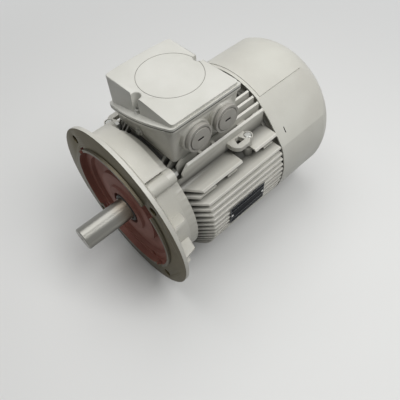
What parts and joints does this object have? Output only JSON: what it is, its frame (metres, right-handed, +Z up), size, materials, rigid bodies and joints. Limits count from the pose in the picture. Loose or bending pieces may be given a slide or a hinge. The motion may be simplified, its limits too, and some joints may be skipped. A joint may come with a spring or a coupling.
{
  "type": "flange-mounted induction motor",
  "caption": "Squirrel-cage induction motor with a round mounting flange, ribbed frame, top terminal box, shaft end with keyway and fan cowl.",
  "frame": {"origin": "centre of the flange's mounting face, on the shaft axis", "axes": "-Y along the shaft towards its drive end, +Z up towards the terminal box, +X towards the cable plugs"},
  "size_m": [0.3, 0.465, 0.34],
  "materials": {
    "painted_casting": "satin stone-grey paint",
    "hood_plastic": "moulded, stone grey",
    "turned_steel": "fine turned",
    "bearing_steel": "ground",
    "zinc_steel": "zinc plated",
    "spring_steel": "blued",
    "core_sheet": "stacked electrical sheet",
    "cast_aluminium": "as cast",
    "winding": "varnished copper wire",
    "seal_rubber": "matt black",
    "fan_plastic": "moulded, black",
    "board_plastic": "moulded, brown",
    "terminal_brass": "bright",
    "plate_black": "black anodised",
    "rivet_aluminium": "bright"
  },
  "bodies": {
    "stator": {"housing": "painted_casting", "flange_shield": "painted_casting", "nde_shield": "painted_casting", "fan_cover": "hood_plastic", "stator_core": "core_sheet", "de_end_winding": "winding", "nde_end_winding": "winding", "terminal_box_base": "painted_casting", "terminal_box_cover": "painted_casting", "cover_gasket": "seal_rubber", "base_gasket": "seal_rubber", "terminal_board": "board_plastic", "terminal_studs": "terminal_brass", "terminal_links": "terminal_brass", "board_screws": "zinc_steel", "cover_screws": "zinc_steel", "box_base_screws": "zinc_steel", "box_earth_screw": "zinc_steel", "blanking_plugs": "hood_plastic", "plug_seals": "seal_rubber", "lifting_lugs": "painted_casting", "lug_screws": "zinc_steel", "de_shield_screws": "zinc_steel", "nde_shield_screws": "zinc_steel", "nameplate": "plate_black", "nameplate_rivets": "rivet_aluminium", "de_bearing_outer_ring": "bearing_steel", "nde_bearing_outer_ring": "bearing_steel", "wave_spring": "spring_steel", "de_retaining_ring": "spring_steel"},
    "rotor": {"shaft": "turned_steel", "rotor_core": "core_sheet", "rotor_end_rings": "cast_aluminium", "de_bearing_inner_ring": "bearing_steel", "nde_bearing_inner_ring": "bearing_steel", "fan": "fan_plastic", "fan_retaining_ring": "spring_steel", "de_shaft_seal": "seal_rubber", "nde_shaft_seal": "seal_rubber"},
    "de_ball_set": {"de_bearing_balls": "bearing_steel", "de_bearing_cage": "spring_steel"},
    "nde_ball_set": {"nde_bearing_balls": "bearing_steel", "nde_bearing_cage": "spring_steel"}
  },
  "joints": [
    {"name": "rotor_spin", "type": "hinge", "parent": "stator", "child": "rotor", "pos_m": [0, 0, 0], "axis": [0, -1, 0], "continuous": true},
    {"name": "de_ball_set_spin", "type": "hinge", "parent": "stator", "child": "de_ball_set", "pos_m": [0, 0.029, 0], "axis": [0, -1, 0], "continuous": true},
    {"name": "nde_ball_set_spin", "type": "hinge", "parent": "stator", "child": "nde_ball_set", "pos_m": [0, 0.264, 0], "axis": [0, -1, 0], "continuous": true}
  ],
  "couplings": [
    {"joint": "de_ball_set_spin", "follows": "rotor_spin", "ratio": 0.4},
    {"joint": "nde_ball_set_spin", "follows": "rotor_spin", "ratio": 0.4}
  ]
}
